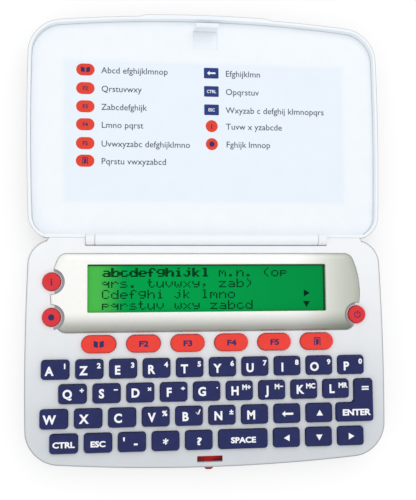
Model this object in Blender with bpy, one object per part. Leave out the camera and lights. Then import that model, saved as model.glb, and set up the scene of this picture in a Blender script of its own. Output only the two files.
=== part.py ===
"""Pocket electronic dictionary, lying flat open: a keyboard base, a hinged lid and a push latch."""

import math

import bmesh
import bpy
from mathutils import Matrix

mm = 0.001

# Walls and clearances
gap = 0.3 * mm
overrun = 1.0 * mm
top_wall = 1.6 * mm
side_wall = 1.6 * mm
floor_wall = 1.6 * mm
lip_wall = 1.0 * mm

# Outline that the base and the lid share, seen from above. The margins run from the outer keys.
side_margin = 4.165 * mm
front_margin = 3.435 * mm
side_swell = 1.0 * mm
swell_centre_share = 0.59
swell_reach_share = 0.54
front_radius = 11.0 * mm
rear_radius = 13.2 * mm
rear_run_out = 2.0 * mm
front_corner_steps = 6
rear_corner_steps = 5
side_stations = 4

# Base
base_front_swell = 3.2 * mm
base_start = -0.3 * mm
foot_height = 0.8 * mm
foot_radius = 3.0 * mm
foot_side_inset = 13.4 * mm
foot_front_inset = 8.85 * mm
foot_rear_y = -13.0 * mm
top_edge_radius = 1.2 * mm
bottom_edge_radius = 2.0 * mm
tongue_height = 0.9 * mm

# Screw bosses and the screws in the underside
boss_radius = 1.6 * mm
post_radius = 1.3 * mm
boss_corner_inset = 3.3 * mm
boss_side_inset = 5.8 * mm
boss_rear_y = -7.6 * mm
screw_well_radius = 1.8 * mm
screw_well_depth = 1.1 * mm
screw_head_radius = 1.3 * mm
screw_head_height = 0.6 * mm

# Lid
lid_overhang = 1.05 * mm
lid_extra_swell = 0.8 * mm
lid_start = 0.7 * mm
lid_wall = 1.4 * mm
rim_width = 1.7 * mm
rim_edge_radius = 0.5 * mm
tray_clearance = 1.5 * mm
liner_wall = 1.2 * mm
liner_hollow_depth = 1.2 * mm
finger_lip_half_width = 25.5 * mm
finger_lip_ramp = 2.0 * mm
finger_lip_reach = 0.6 * mm

# Hinge
barrel_radius = 2.1 * mm
barrel_half_length = 41.5 * mm
knuckle_length = 3.0 * mm
rod_radius = 0.75 * mm
rod_clearance = 0.12 * mm
rod_end_wall = 0.6 * mm
trough_wall = 1.2 * mm

# Hook on the lid, slot in the base and the slider under it
hook_half_width = 4.3 * mm
hook_thickness = 0.8 * mm
hook_set_back = 2.75 * mm
barb_reach = 0.65 * mm
barb_height = 0.8 * mm
slot_margin = 0.35 * mm
core_pocket_length = 6.9 * mm
core_pocket_depth = 0.5 * mm
latch_travel = 0.7 * mm
tooth_height = 1.2 * mm
slider_wall = 0.9 * mm
slider_plate_height = 1.2 * mm
slider_side = 0.7 * mm
button_half_width = 1.8 * mm
button_height = 2.0 * mm
button_proud = 1.45 * mm
button_wall = 1.2 * mm
spring_tab_half_width = 1.6 * mm
spring_length = 5.0 * mm
spring_radius = 0.9 * mm
spring_wire_radius = 0.18 * mm
spring_turns = 5
spring_points_per_turn = 8
spring_post_thickness = 1.2 * mm

# Display
hinge_strip = 3.0 * mm
bezel_top_band = 3.9 * mm
bezel_bottom_band = 7.1 * mm
bezel_side_band = 13.1 * mm
bezel_side_sag = 3.5 * mm
bezel_corner_radius = 3.4 * mm
bezel_rise = 0.9 * mm
bezel_seat = 0.3 * mm
bezel_crown_width = 2.4 * mm
bezel_crown_steps = 3
window_half_width = 44.1 * mm
window_depth = 17.4 * mm
panel_overlap = 2.0 * mm
panel_thickness = 1.8 * mm

# Keys, each on a flange that the gaps below part from the next one
key_width = 9.75 * mm
key_depth = 6.75 * mm
key_radius = 1.1 * mm
key_proud = 1.4 * mm
key_travel = 0.8 * mm
key_edge = 0.35 * mm
key_corner_steps = 2
flange_reach = 0.6 * mm
flange_height = 0.8 * mm
column_gap = 1.11 * mm
row_gap = 0.76 * mm
keyboard_centre_x = -1.15 * mm
row_start_shares = (-4.5, -3.99, -4.53, -4.24)
key_rows = (
    tuple("azertyuiop"),
    tuple("qsdfghjkl"),
    (*"wxcvbnm", "backspace", "up"),
    ("ctrl", "escape", "apostrophe", "star", "question"),
)
arrow_keys = ("left", "down", "right")
space_width = 18.0 * mm
enter_bar_gap = 0.45 * mm
enter_stem_gap = 0.9 * mm
enter_stem_width = 7.05 * mm
enter_inner_radius = 1.6 * mm
function_keys = 6
oval_width = 12.3 * mm
oval_depth = 6.1 * mm
oval_gap = 2.56 * mm
oval_centre_x = 0.15 * mm
oval_end_steps = 6
bezel_to_ovals = 1.2 * mm
ovals_to_rows = 1.235 * mm
round_radius = 3.35 * mm
round_steps = 20
round_well_margin = 1.35 * mm
round_pitch = 12.8 * mm
left_round_inset = 0.35 * mm
right_round_inset = 1.3 * mm
lower_round_rise = 5.55 * mm

# Inside the base
mat_thickness = 1.2 * mm
mat_arm_margin = 0.25 * mm
board_thickness = 1.2 * mm
board_side_inset = 5.0 * mm
board_post_clearance = 2.2 * mm
board_latch_clearance = 0.8 * mm
board_corner_ease = 3.0 * mm
cell_radius = 10.0 * mm
cell_height = 3.2 * mm
cell_margin = 2.0 * mm
cell_to_board = 1.2 * mm
door_ledge = 1.7 * mm
door_thickness = 1.0 * mm
door_tab_width = 4.0 * mm
door_tab_reach = 1.0 * mm
door_tab_x = 7.0 * mm
door_pocket_wall = 0.4 * mm
door_screw_radius = 2.2 * mm

# Places seen from above that follow, measured from the hinge axis
groove_radius = barrel_radius + gap
bezel_top_y = -groove_radius - hinge_strip
window_top_y = bezel_top_y - bezel_top_band
window_bottom_y = window_top_y - window_depth
bezel_bottom_y = window_bottom_y - bezel_bottom_band
bezel_half_width = window_half_width + bezel_side_band
round_well_radius = round_radius + round_well_margin
left_round_x = left_round_inset - bezel_half_width
right_round_x = bezel_half_width - right_round_inset
lower_round_y = bezel_bottom_y + lower_round_rise
upper_round_y = lower_round_y + round_pitch
round_places = [
    (left_round_x, upper_round_y), (left_round_x, lower_round_y), (right_round_x, lower_round_y)
]
oval_pitch = oval_width + 2 * flange_reach + oval_gap
oval_y = bezel_bottom_y - bezel_to_ovals - oval_depth / 2
key_space = 2 * flange_reach + column_gap
key_pitch = key_width + key_space
row_pitch = key_depth + 2 * flange_reach + row_gap
first_row_y = oval_y - (oval_depth + key_depth) / 2 - 2 * flange_reach - ovals_to_rows
row_ys = [first_row_y - row * row_pitch for row in range(len(key_rows))]
row_starts = [keyboard_centre_x + share * key_pitch for share in row_start_shares]
row_ends = [
    start + (len(keys) - 1) * key_pitch + key_width / 2 for start, keys in zip(row_starts, key_rows)
]
space_x = row_ends[-1] + key_space + space_width / 2
arrow_x = space_x + space_width / 2 + key_space + key_width / 2
arrows_end = arrow_x + (len(arrow_keys) - 1) * key_pitch + key_width / 2
enter_left = row_ends[2] + 2 * flange_reach + enter_bar_gap
enter_stem_left = row_ends[1] + 2 * flange_reach + enter_stem_gap
enter_right = enter_stem_left + enter_stem_width
enter_top_y = row_ys[1] + key_depth / 2
enter_bar_top_y = row_ys[2] + key_depth / 2
enter_bottom_y = row_ys[2] - key_depth / 2
keyboard_reach = max(key_width / 2 - min(row_starts), enter_right, round_radius - left_round_x)
front_row_reach = max(key_width / 2 - row_starts[-1], arrows_end)
boss_front_inset = front_radius - (front_radius - boss_corner_inset) * math.cos(math.pi / 4)
boss_reach = front_row_reach + flange_reach + gap + boss_radius
case_half_width = max(keyboard_reach + side_margin, boss_reach + boss_front_inset)
base_depth = key_depth / 2 - row_ys[-1] + front_margin
lid_depth = base_depth + lid_overhang
lid_front_swell = base_front_swell + lid_extra_swell
front_y = -(base_depth + base_front_swell)
hinge_y = (lid_depth + lid_front_swell + finger_lip_reach + front_y - button_proud) / -2
boss_places = [
    (side * (case_half_width - inset), y)
    for inset, y in ((boss_side_inset, boss_rear_y), (boss_front_inset, boss_front_inset - base_depth))
    for side in (-1, 1)
]
knuckle_end = barrel_half_length + gap + knuckle_length
hook_y = -front_y - hook_set_back
hook_inner_y = hook_y - hook_thickness / 2
hook_outer_y = hook_y + hook_thickness / 2
barb_y = hook_inner_y - barb_reach
slot_half_width = hook_half_width + slot_margin
slider_half_width = hook_half_width + slider_side
slider_front_y = front_y + side_wall + gap
slider_riser_y = -barb_y + gap
slider_back_y = slider_riser_y + slider_wall
spring_start_y = slider_back_y + gap
spring_end_y = spring_start_y + spring_length
board_half_width = case_half_width - board_side_inset
board_rear_y = boss_rear_y - boss_radius - board_post_clearance
board_front_y = slider_back_y + latch_travel + board_latch_clearance
board_corner_radius = front_radius - board_corner_ease
mat_arm_inner_x = right_round_x - round_radius - flange_reach - mat_arm_margin
mat_main_y = oval_y + oval_depth / 2 + flange_reach
cell_y = (board_rear_y + board_front_y) / 2
tub_half_width = cell_radius + cell_margin
door_half_width = tub_half_width + door_ledge

# Heights that follow, measured from the hinge axis, which lies in the base's top face
flange_top_z = -top_wall - gap
flange_bottom_z = flange_top_z - flange_height
mat_top_z = flange_bottom_z - key_travel - gap
mat_bottom_z = mat_top_z - mat_thickness
board_top_z = mat_bottom_z - gap
board_bottom_z = board_top_z - board_thickness
cell_bottom_z = board_bottom_z - cell_to_board - cell_height
door_top_z = cell_bottom_z - gap
underside_z = door_top_z - door_thickness
floor_z = underside_z + floor_wall
base_height = foot_height - underside_z
bore_radius = rod_radius + rod_clearance
rim_z = -gap
tray_z = -key_proud - tray_clearance
lid_outer_z = tray_z - liner_wall - liner_hollow_depth - gap - lid_wall
tooth_top_z = -top_wall - gap
tooth_bottom_z = tooth_top_z - tooth_height
hook_reach = gap + barb_height - tooth_bottom_z
slider_plate_top_z = -hook_reach - 2 * gap
slider_plate_bottom_z = slider_plate_top_z - slider_plate_height
button_middle_z = (slider_plate_top_z + slider_plate_bottom_z) / 2
parting_z = button_middle_z - button_height / 2 - button_wall
tongue_top_z = parting_z + tongue_height - gap
coil_radius = spring_radius + spring_wire_radius
spring_z = board_bottom_z - gap - coil_radius


def clear_scene():
    for item in list(bpy.data.objects):
        bpy.data.objects.remove(item, do_unlink=True)


def new_collection(name, shown=True):
    made = bpy.data.collections.new(name)
    made.hide_render = not shown
    bpy.context.scene.collection.children.link(made)
    return made


def linear(value):
    share = value / 255
    return share / 12.92 if share <= 0.04045 else ((share + 0.055) / 1.055) ** 2.4


def finish(name, colour, roughness, metallic=0.0):
    made = bpy.data.materials.new(name)
    made.use_nodes = True
    shader = made.node_tree.nodes["Principled BSDF"]
    shader.inputs["Base Color"].default_value = (*map(linear, colour), 1)
    shader.inputs["Roughness"].default_value = roughness
    shader.inputs["Metallic"].default_value = metallic
    made.diffuse_color = shader.inputs["Base Color"].default_value
    return made


def add(name, shape, parent, material=None, place=(0, 0, 0)):
    """Turns a bmesh into an object. Without a material it is a helper that cuts or joins others."""
    bmesh.ops.recalc_face_normals(shape, faces=shape.faces)
    mesh = bpy.data.meshes.new(name)
    shape.to_mesh(mesh)
    shape.free()
    mesh.shade_smooth()
    mesh.set_sharp_from_angle(angle=math.radians(35))
    made = bpy.data.objects.new(name, mesh)
    made.parent = parent
    made.location = place
    if material:
        mesh.materials.append(material)
        parts.objects.link(made)
    else:
        made.hide_render = True
        made.display_type = "WIRE"
        helpers.objects.link(made)
    return made


def combine(target, operation, name, shape):
    helper = add(f"{target.name} {name}", shape, target.parent, place=target.location)
    modifier = target.modifiers.new(name, "BOOLEAN")
    modifier.operation = operation
    modifier.object = helper


def cut(target, name, shape):
    combine(target, "DIFFERENCE", name, shape)


def join(target, name, shape):
    combine(target, "UNION", name, shape)


def lift(shape, face, height):
    """Extrudes a face along Z and gives the new one."""
    made = bmesh.ops.extrude_face_region(shape, geom=[face, *face.edges])["geom"]
    corners = [item for item in made if isinstance(item, bmesh.types.BMVert)]
    bmesh.ops.translate(shape, verts=corners, vec=(0, 0, height))
    return next(item for item in made if isinstance(item, bmesh.types.BMFace))


def prism(outline, bottom, top, shape=None):
    """A flat outline raised from one height to another. Gives the shape and its top face."""
    shape = shape or bmesh.new()
    face = shape.faces.new([shape.verts.new((x, y, bottom)) for x, y in outline])
    return shape, lift(shape, face, top - bottom)


def round_over(shape, face, radius, steps):
    bmesh.ops.bevel(
        shape, geom=list(face.edges), offset=radius, segments=steps, profile=0.5, affect="EDGES"
    )


def lowest_face(shape):
    return min(shape.faces, key=lambda face: face.calc_center_median().z)


def box(low, high, shape=None):
    shape = shape or bmesh.new()
    size = [b - a for a, b in zip(low, high)]
    middle = [(a + b) / 2 for a, b in zip(low, high)]
    bmesh.ops.create_cube(
        shape, size=1, matrix=Matrix.Translation(middle) @ Matrix.Diagonal((*size, 1))
    )
    return shape


def cylinder(radius, bottom, top, steps, axis="Z", place=(0, 0), shape=None):
    """A cylinder between two stations of its axis; place is its centre in the other two directions."""
    shape = shape or bmesh.new()
    middle = (bottom + top) / 2
    if axis == "X":
        turn = Matrix.Translation((middle, *place)) @ Matrix.Rotation(math.pi / 2, 4, "Y")
    else:
        turn = Matrix.Translation((*place, middle))
    bmesh.ops.create_cone(
        shape, cap_ends=True, segments=steps, radius1=radius, radius2=radius,
        depth=top - bottom, matrix=turn,
    )
    return shape


def bar(profile, half_width):
    """A profile in Y and Z, run along X to both sides of the middle."""
    shape, _ = prism(profile, -half_width, half_width)
    stand = Matrix(((0, 0, 1, 0), (1, 0, 0, 0), (0, 1, 0, 0), (0, 0, 0, 1)))
    bmesh.ops.transform(shape, matrix=stand, verts=shape.verts)
    return shape


def arc(centre, radius, start, end, steps):
    """Points on an arc, with its angles in degrees."""
    angles = [math.radians(start + (end - start) * step / steps) for step in range(steps + 1)]
    return [(centre[0] + radius * math.cos(a), centre[1] + radius * math.sin(a)) for a in angles]


def filleted(corners, steps):
    """An outline through (x, y, radius) corners, each rounded by an arc."""
    points = []
    for index, (x, y, radius) in enumerate(corners):
        before = math.atan2(corners[index - 1][1] - y, corners[index - 1][0] - x)
        after_x, after_y, _ = corners[(index + 1) % len(corners)]
        after = math.atan2(after_y - y, after_x - x)
        turn = (after - before + math.pi) % math.tau - math.pi
        middle = before + turn / 2
        reach = radius / math.sin(abs(turn) / 2)
        centre = (x + reach * math.cos(middle), y + reach * math.sin(middle))
        sweep = math.degrees(math.pi - abs(turn)) / 2
        away = math.degrees(middle) + 180
        side = -1 if turn < 0 else 1
        points += arc(centre, radius, away + side * sweep, away - side * sweep, steps)
    return points


def rounded_box(half_width, half_depth, radius, steps):
    across = half_width - radius
    along = half_depth - radius
    points = []
    for quarter, (x, y) in enumerate(((1, 1), (-1, 1), (-1, -1), (1, -1))):
        points += arc((x * across, y * along), radius, 90 * quarter, 90 * quarter + 90, steps)
    return points


def case_outline(inset, depth, front_swell, start, lip=0.0):
    """Half of the clamshell's outline as (x, distance from the hinge), mirrored and closed.

    A rounded rectangle is swelled a little at the sides and more at the front. The rear corners
    run out at the hinge, and an optional finger lip stands out at the front.
    """
    width = case_half_width - inset
    reach = depth - inset
    radius = rear_radius - inset
    centre = (case_half_width - rear_radius, rear_radius - rear_run_out)
    rear_y = inset + start
    run_out = -math.degrees(math.asin((centre[1] - rear_y) / radius))
    half = arc(centre, radius, run_out, 0, rear_corner_steps)
    front = front_radius - inset
    side_length = reach - front - centre[1]
    half += [
        (width, centre[1] + side_length * (step + 1) / (side_stations + 1))
        for step in range(side_stations)
    ]
    half += arc((width - front, reach - front), front, 0, 90, front_corner_steps)
    shoulder = finger_lip_half_width + finger_lip_ramp
    half += [((width - front + shoulder) / 2, reach), (shoulder, reach)]
    half += [(finger_lip_half_width, reach), (finger_lip_half_width / 2, reach)]
    swelled = []
    for x, y in half:
        side = 1 - ((y - swell_centre_share * depth) / (swell_reach_share * depth)) ** 2
        ahead = (1 - (x / width) ** 2) * max(0.0, y / reach)
        lipped = lip if y == reach and x < shoulder else 0.0
        swelled.append((x + side_swell * side * x / width, y + front_swell * ahead + lipped))
    crest = (0.0, reach + front_swell + lip)
    return swelled + [crest] + [(-x, y) for x, y in reversed(swelled)]


def base_outline(inset):
    return [(x, -y) for x, y in case_outline(inset, base_depth, base_front_swell, base_start)]


def lid_outline(inset):
    return case_outline(inset, lid_depth, lid_front_swell, lid_start, finger_lip_reach)


def key_outline(width, depth, radius, steps, grow):
    return rounded_box(width / 2 + grow, depth / 2 + grow, radius + grow, steps)


def letter_outline(grow):
    return key_outline(key_width, key_depth, key_radius, key_corner_steps, grow)


def space_outline(grow):
    return key_outline(space_width, key_depth, key_radius, key_corner_steps, grow)


def oval_outline(grow):
    radius = oval_depth / 2
    end_x = oval_width / 2 - radius
    right = arc((end_x, 0), radius + grow, -90, 90, oval_end_steps)
    return right + arc((-end_x, 0), radius + grow, 90, 270, oval_end_steps)


def round_outline(grow):
    return arc((0, 0), round_radius + grow, 0, 360, round_steps)[:-1]


def enter_outline(grow):
    """The L-shaped key, about the centre of its box."""
    middle_x = (enter_left + enter_right) / 2
    middle_y = (enter_top_y + enter_bottom_y) / 2
    corners = [
        (enter_left - grow, enter_bottom_y - grow, key_radius + grow),
        (enter_right + grow, enter_bottom_y - grow, key_radius + grow),
        (enter_right + grow, enter_top_y + grow, key_radius + grow),
        (enter_stem_left - grow, enter_top_y + grow, key_radius + grow),
        (enter_stem_left - grow, enter_bar_top_y + grow, enter_inner_radius - grow),
        (enter_left - grow, enter_bar_top_y + grow, key_radius + grow),
    ]
    return filleted([(x - middle_x, y - middle_y, r) for x, y, r in corners], key_corner_steps)


def key_table():
    """Every key as (name, outline, place, colour)."""
    table = []
    for names, start, y in zip(key_rows, row_starts, row_ys):
        for column, name in enumerate(names):
            table.append((f"key_{name}", letter_outline, (start + column * key_pitch, y), "blue"))
    table.append(("key_space", space_outline, (space_x, row_ys[-1]), "blue"))
    for column, name in enumerate(arrow_keys):
        place = (arrow_x + column * key_pitch, row_ys[-1])
        table.append((f"key_{name}", letter_outline, place, "blue"))
    enter_place = ((enter_left + enter_right) / 2, (enter_top_y + enter_bottom_y) / 2)
    table.append(("key_enter", enter_outline, enter_place, "blue"))
    for index in range(function_keys):
        place = (oval_centre_x + (index - (function_keys - 1) / 2) * oval_pitch, oval_y)
        table.append((f"function_key_{index + 1}", oval_outline, place, "red"))
    for name, place in zip(("help_button", "shift_button", "power_button"), round_places):
        table.append((name, round_outline, place, "red"))
    return table


def make_keys(parent, materials):
    """Each key is a cap on a wider flange, which keeps it under the case's top wall."""
    for name, outline, (x, y), colour in key_table():
        shape, flange = prism(outline(flange_reach), flange_bottom_z, flange_top_z)
        bmesh.ops.inset_region(shape, faces=[flange], thickness=flange_reach, use_even_offset=True)
        cap = lift(shape, flange, key_proud - flange_top_z)
        round_over(shape, cap, key_edge, 1)
        add(name, shape, parent, materials[colour], (x, y, 0))


def shifted(outline, place):
    return [(x + place[0], y + place[1]) for x, y in outline]


def bezel_outline(inset):
    """Straight above and below, with sides that bulge as arcs, less the button wells' notches."""
    top = bezel_top_y - inset
    bottom = bezel_bottom_y + inset
    middle = (top + bottom) / 2
    half_height = (top - bottom) / 2
    widest = bezel_half_width - inset
    radius = (half_height ** 2 + bezel_side_sag ** 2) / (2 * bezel_side_sag)
    corner = bezel_corner_radius - inset
    side_centre = (widest - radius, middle)
    corner_y = half_height - corner
    corner_x = side_centre[0] + math.sqrt((radius - corner) ** 2 - corner_y ** 2)
    lean = math.degrees(math.atan2(corner_y, corner_x - side_centre[0]))
    right = arc((corner_x, middle - corner_y), corner, -90, -lean, 3)
    right += arc(side_centre, radius, -lean, lean, 6)[1:-1]
    right += arc((corner_x, middle + corner_y), corner, lean, 90, 3)
    return right + [(-x, y) for x, y in reversed(right)]


def make_upper_case(parent, material):
    shape, top = prism(base_outline(0), parting_z, 0)
    round_over(shape, top, top_edge_radius, 3)
    case = add("upper_case", shape, parent, material)
    cut(case, "cavity", prism(base_outline(side_wall), parting_z - overrun, -top_wall)[0])
    bosses = bmesh.new()
    for place in boss_places:
        cylinder(boss_radius, tongue_top_z + gap, -top_wall / 2, 10, place=place, shape=bosses)
    join(case, "bosses", bosses)
    knuckles = bmesh.new()
    for side in (-1, 1):
        ends = sorted((side * (barrel_half_length + gap / 2), side * knuckle_end))
        cylinder(barrel_radius, *ends, 16, axis="X", shape=knuckles)
    join(case, "knuckles", knuckles)
    trough = [(0, -top_wall / 2)] + arc((0, 0), groove_radius + trough_wall, 270, 190, 6)
    join(case, "hinge trough", bar(trough, knuckle_end))
    end = barrel_half_length + gap
    cut(case, "barrel groove", cylinder(groove_radius, -end, end, 16, axis="X"))
    rod_end = knuckle_end - rod_end_wall
    cut(case, "rod bore", cylinder(bore_radius, -rod_end, rod_end, 10, axis="X"))
    recess = prism(bezel_outline(-gap), -2 * bezel_seat, barrel_radius)[0]
    recess_object = cutter_with_round_notches(recess, parent)
    apply_cut(case, "bezel recess", recess_object)
    half_width = window_half_width + panel_overlap + gap
    low = (-half_width, window_bottom_y - panel_overlap - gap, -top_wall - overrun)
    high = (half_width, window_top_y + panel_overlap + gap, overrun)
    cut(case, "display opening", box(low, high))
    wells = bmesh.new()
    for _, outline, place, _ in key_table():
        prism(shifted(outline(gap), place), -top_wall - overrun, overrun, wells)
    cut(case, "key wells", wells)
    low = (-slot_half_width, -hook_outer_y - slot_margin, -top_wall - overrun)
    high = (slot_half_width, -barb_y + slot_margin, overrun)
    cut(case, "hook slot", box(low, high))
    half_height = button_height / 2 + gap
    low = (-button_half_width - gap, front_y - overrun, button_middle_z - half_height)
    high = (button_half_width + gap, front_y + side_wall + overrun, button_middle_z + half_height)
    cut(case, "button hole", box(low, high))


def cutter_with_round_notches(shape, parent):
    """The bezel's seat, left standing round the buttons that nibble at the bezel."""
    seat = add("bezel seat", shape, parent)
    islands = bmesh.new()
    for place in round_places:
        cylinder(round_well_radius - gap, -top_wall, barrel_radius + overrun, 24, place=place, shape=islands)
    cut(seat, "islands", islands)
    return seat


def apply_cut(target, name, helper):
    modifier = target.modifiers.new(name, "BOOLEAN")
    modifier.object = helper


def make_lower_case(parent, material):
    shape, _ = prism(base_outline(0), underside_z, parting_z - gap)
    round_over(shape, lowest_face(shape), bottom_edge_radius, 3)
    case = add("lower_case", shape, parent, material)
    inset = side_wall + gap
    join(case, "tongue", prism(base_outline(inset), floor_z, tongue_top_z)[0])
    cut(case, "cavity", prism(base_outline(inset + lip_wall), floor_z, overrun)[0])
    outer = door_half_width + gap + door_tab_reach + door_pocket_wall
    tub_top_z = cell_bottom_z + cell_height
    low = (-outer, cell_y - outer, underside_z + floor_wall / 2)
    join(case, "battery tub", box(low, (outer, cell_y + outer, tub_top_z)))
    post_front = spring_end_y + gap
    low = (-2 * spring_radius, post_front, underside_z + floor_wall / 2)
    high = (2 * spring_radius, post_front + spring_post_thickness, board_bottom_z - gap)
    join(case, "spring post", box(low, high))
    posts = bmesh.new()
    for place in boss_places:
        cylinder(post_radius, underside_z + floor_wall / 2, tongue_top_z, 10, place=place, shape=posts)
    join(case, "screw posts", posts)
    feet = bmesh.new()
    foot_x = case_half_width - foot_side_inset
    for side in (-1, 1):
        for y in (foot_rear_y, foot_front_inset - base_depth):
            low = -base_height
            cylinder(foot_radius, low, underside_z + floor_wall / 2, 16, place=(side * foot_x, y), shape=feet)
    join(case, "feet", feet)
    low = (-tub_half_width, cell_y - tub_half_width, underside_z - overrun)
    cut(case, "cell well", box(low, (tub_half_width, cell_y + tub_half_width, overrun)))
    half = door_half_width + gap
    low = (-half, cell_y - half, underside_z - overrun)
    opening = box(low, (half, cell_y + half, door_top_z + gap))
    cut(case, "door opening", opening)
    pockets = bmesh.new()
    for side in (-1, 1):
        half_tab = door_tab_width / 2 + gap
        low = (side * door_tab_x - half_tab, cell_y + half - overrun, door_top_z - door_thickness / 2 - gap)
        high = (side * door_tab_x + half_tab, cell_y + half + door_tab_reach, door_top_z + gap)
        box(low, high, pockets)
    cut(case, "tab pockets", pockets)
    wells = bmesh.new()
    for place in boss_places:
        cylinder(
            screw_well_radius, underside_z - overrun, underside_z + screw_well_depth, 12,
            place=place, shape=wells,
        )
    cut(case, "screw wells", wells)
    heads = bmesh.new()
    for place in boss_places:
        head_z = underside_z + screw_well_depth - screw_head_height
        cylinder(
            screw_head_radius, head_z, underside_z + screw_well_depth + floor_wall / 2, 10,
            place=place, shape=heads,
        )
    join(case, "screw heads", heads)


def make_battery_door(parent, material):
    low = (-door_half_width, cell_y - door_half_width, underside_z)
    high = (door_half_width, cell_y + door_half_width, door_top_z)
    door = add("battery_door", box(low, high), parent, material)
    tabs = bmesh.new()
    for side in (-1, 1):
        half_tab = door_tab_width / 2
        low = (side * door_tab_x - half_tab, high[1] - overrun, door_top_z - door_thickness / 2)
        top = (side * door_tab_x + half_tab, high[1] + door_tab_reach, door_top_z)
        box(low, top, tabs)
    join(door, "tabs", tabs)
    screw_y = cell_y - door_half_width + 1.4 * door_screw_radius
    ring = cylinder(
        door_screw_radius, underside_z - overrun, underside_z + door_thickness / 2, 12,
        place=(0, screw_y),
    )
    cut(door, "screw well", ring)
    head = cylinder(
        screw_head_radius, underside_z + door_thickness / 5, door_top_z - door_thickness / 5, 10,
        place=(0, screw_y),
    )
    join(door, "screw head", head)


def make_inner_pieces(parent, materials):
    half = board_half_width
    radius = board_corner_radius
    small = radius / 4
    board = [
        (-half, board_rear_y, small), (-half, board_front_y, radius),
        (half, board_front_y, radius), (half, board_rear_y, small),
    ]
    shape, _ = prism(filleted(board, 4), board_bottom_z, board_top_z)
    add("circuit_board", shape, parent, materials["board"])
    inner = mat_arm_inner_x
    mat = board[:3] + [
        (half, board_rear_y, small), (inner, board_rear_y, small), (inner, mat_main_y, small),
        (-inner, mat_main_y, small), (-inner, board_rear_y, small),
    ]
    shape, _ = prism(filleted(mat, 4), mat_bottom_z, mat_top_z)
    add("key_mat", shape, parent, materials["mat"])
    shape = cylinder(cell_radius, cell_bottom_z, cell_bottom_z + cell_height, 24, place=(0, cell_y))
    add("coin_cell", shape, parent, materials["steel"])


def make_display(parent, materials):
    shape, top = prism(bezel_outline(0), -bezel_seat, -bezel_seat + bezel_rise / 3)
    rise = bezel_rise + bezel_seat - bezel_rise / 3
    for step in range(bezel_crown_steps):
        start = math.pi / 2 * step / bezel_crown_steps
        end = math.pi / 2 * (step + 1) / bezel_crown_steps
        inward = bezel_crown_width * (math.cos(start) - math.cos(end))
        upward = rise * (math.sin(end) - math.sin(start))
        bmesh.ops.inset_region(
            shape, faces=[top], thickness=inward, depth=upward, use_even_offset=True
        )
    bezel = add("display_bezel", shape, parent, materials["silver"])
    low = (-window_half_width, window_bottom_y, -overrun)
    cut(bezel, "window", box(low, (window_half_width, window_top_y, bezel_rise + overrun)))
    notches = bmesh.new()
    for place in round_places:
        cylinder(round_well_radius, -overrun, bezel_rise + overrun, 24, place=place, shape=notches)
    cut(bezel, "button notches", notches)
    half_width = window_half_width + panel_overlap
    top_z = -bezel_seat - gap
    low = (-half_width, window_bottom_y - panel_overlap, top_z - panel_thickness)
    high = (half_width, window_top_y + panel_overlap, top_z)
    add("display_panel", box(low, high), parent, materials["display"])


def make_latch(parent, materials):
    middle = button_middle_z
    plate = [
        (slider_front_y, slider_plate_bottom_z), (slider_back_y, slider_plate_bottom_z),
        (slider_back_y, slider_plate_top_z), (slider_front_y, slider_plate_top_z),
    ]
    slider = add("latch_slider", bar(plate, slider_half_width), parent, materials["latch"])
    tooth_y = -hook_inner_y + gap
    riser = [
        (slider_riser_y, middle), (slider_back_y, middle), (slider_back_y, tooth_top_z),
        (tooth_y + tooth_height / 2, tooth_top_z), (tooth_y, tooth_top_z - tooth_height / 2),
        (tooth_y, tooth_bottom_z), (slider_riser_y, tooth_bottom_z),
    ]
    join(slider, "tooth", bar(riser, hook_half_width))
    low = (-button_half_width, front_y - button_proud, middle - button_height / 2)
    high = (button_half_width, slider_front_y + gap, middle + button_height / 2)
    join(slider, "button", box(low, high))
    low = (-spring_tab_half_width, slider_riser_y, spring_z - coil_radius)
    join(slider, "spring tab", box(low, (spring_tab_half_width, slider_back_y, middle)))
    make_spring(parent, materials["steel"])


def make_spring(parent, material):
    count = spring_turns * spring_points_per_turn
    curve = bpy.data.curves.new("latch_spring", "CURVE")
    curve.dimensions = "3D"
    curve.bevel_depth = spring_wire_radius
    curve.bevel_resolution = 1
    curve.use_fill_caps = True
    line = curve.splines.new("POLY")
    line.points.add(count)
    run = spring_length - 2 * spring_wire_radius
    for index, point in enumerate(line.points):
        angle = math.tau * index / spring_points_per_turn
        along = spring_start_y + spring_wire_radius + run * index / count
        x = spring_radius * math.cos(angle)
        point.co = (x, along, spring_z + spring_radius * math.sin(angle), 1)
    curve.materials.append(material)
    spring = bpy.data.objects.new("latch_spring", curve)
    spring.parent = parent
    parts.objects.link(spring)
    pitch = run / spring_turns
    print(f"latch spring turns clear each other by {(pitch - 2 * spring_wire_radius) / mm:.2f} mm")


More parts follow.
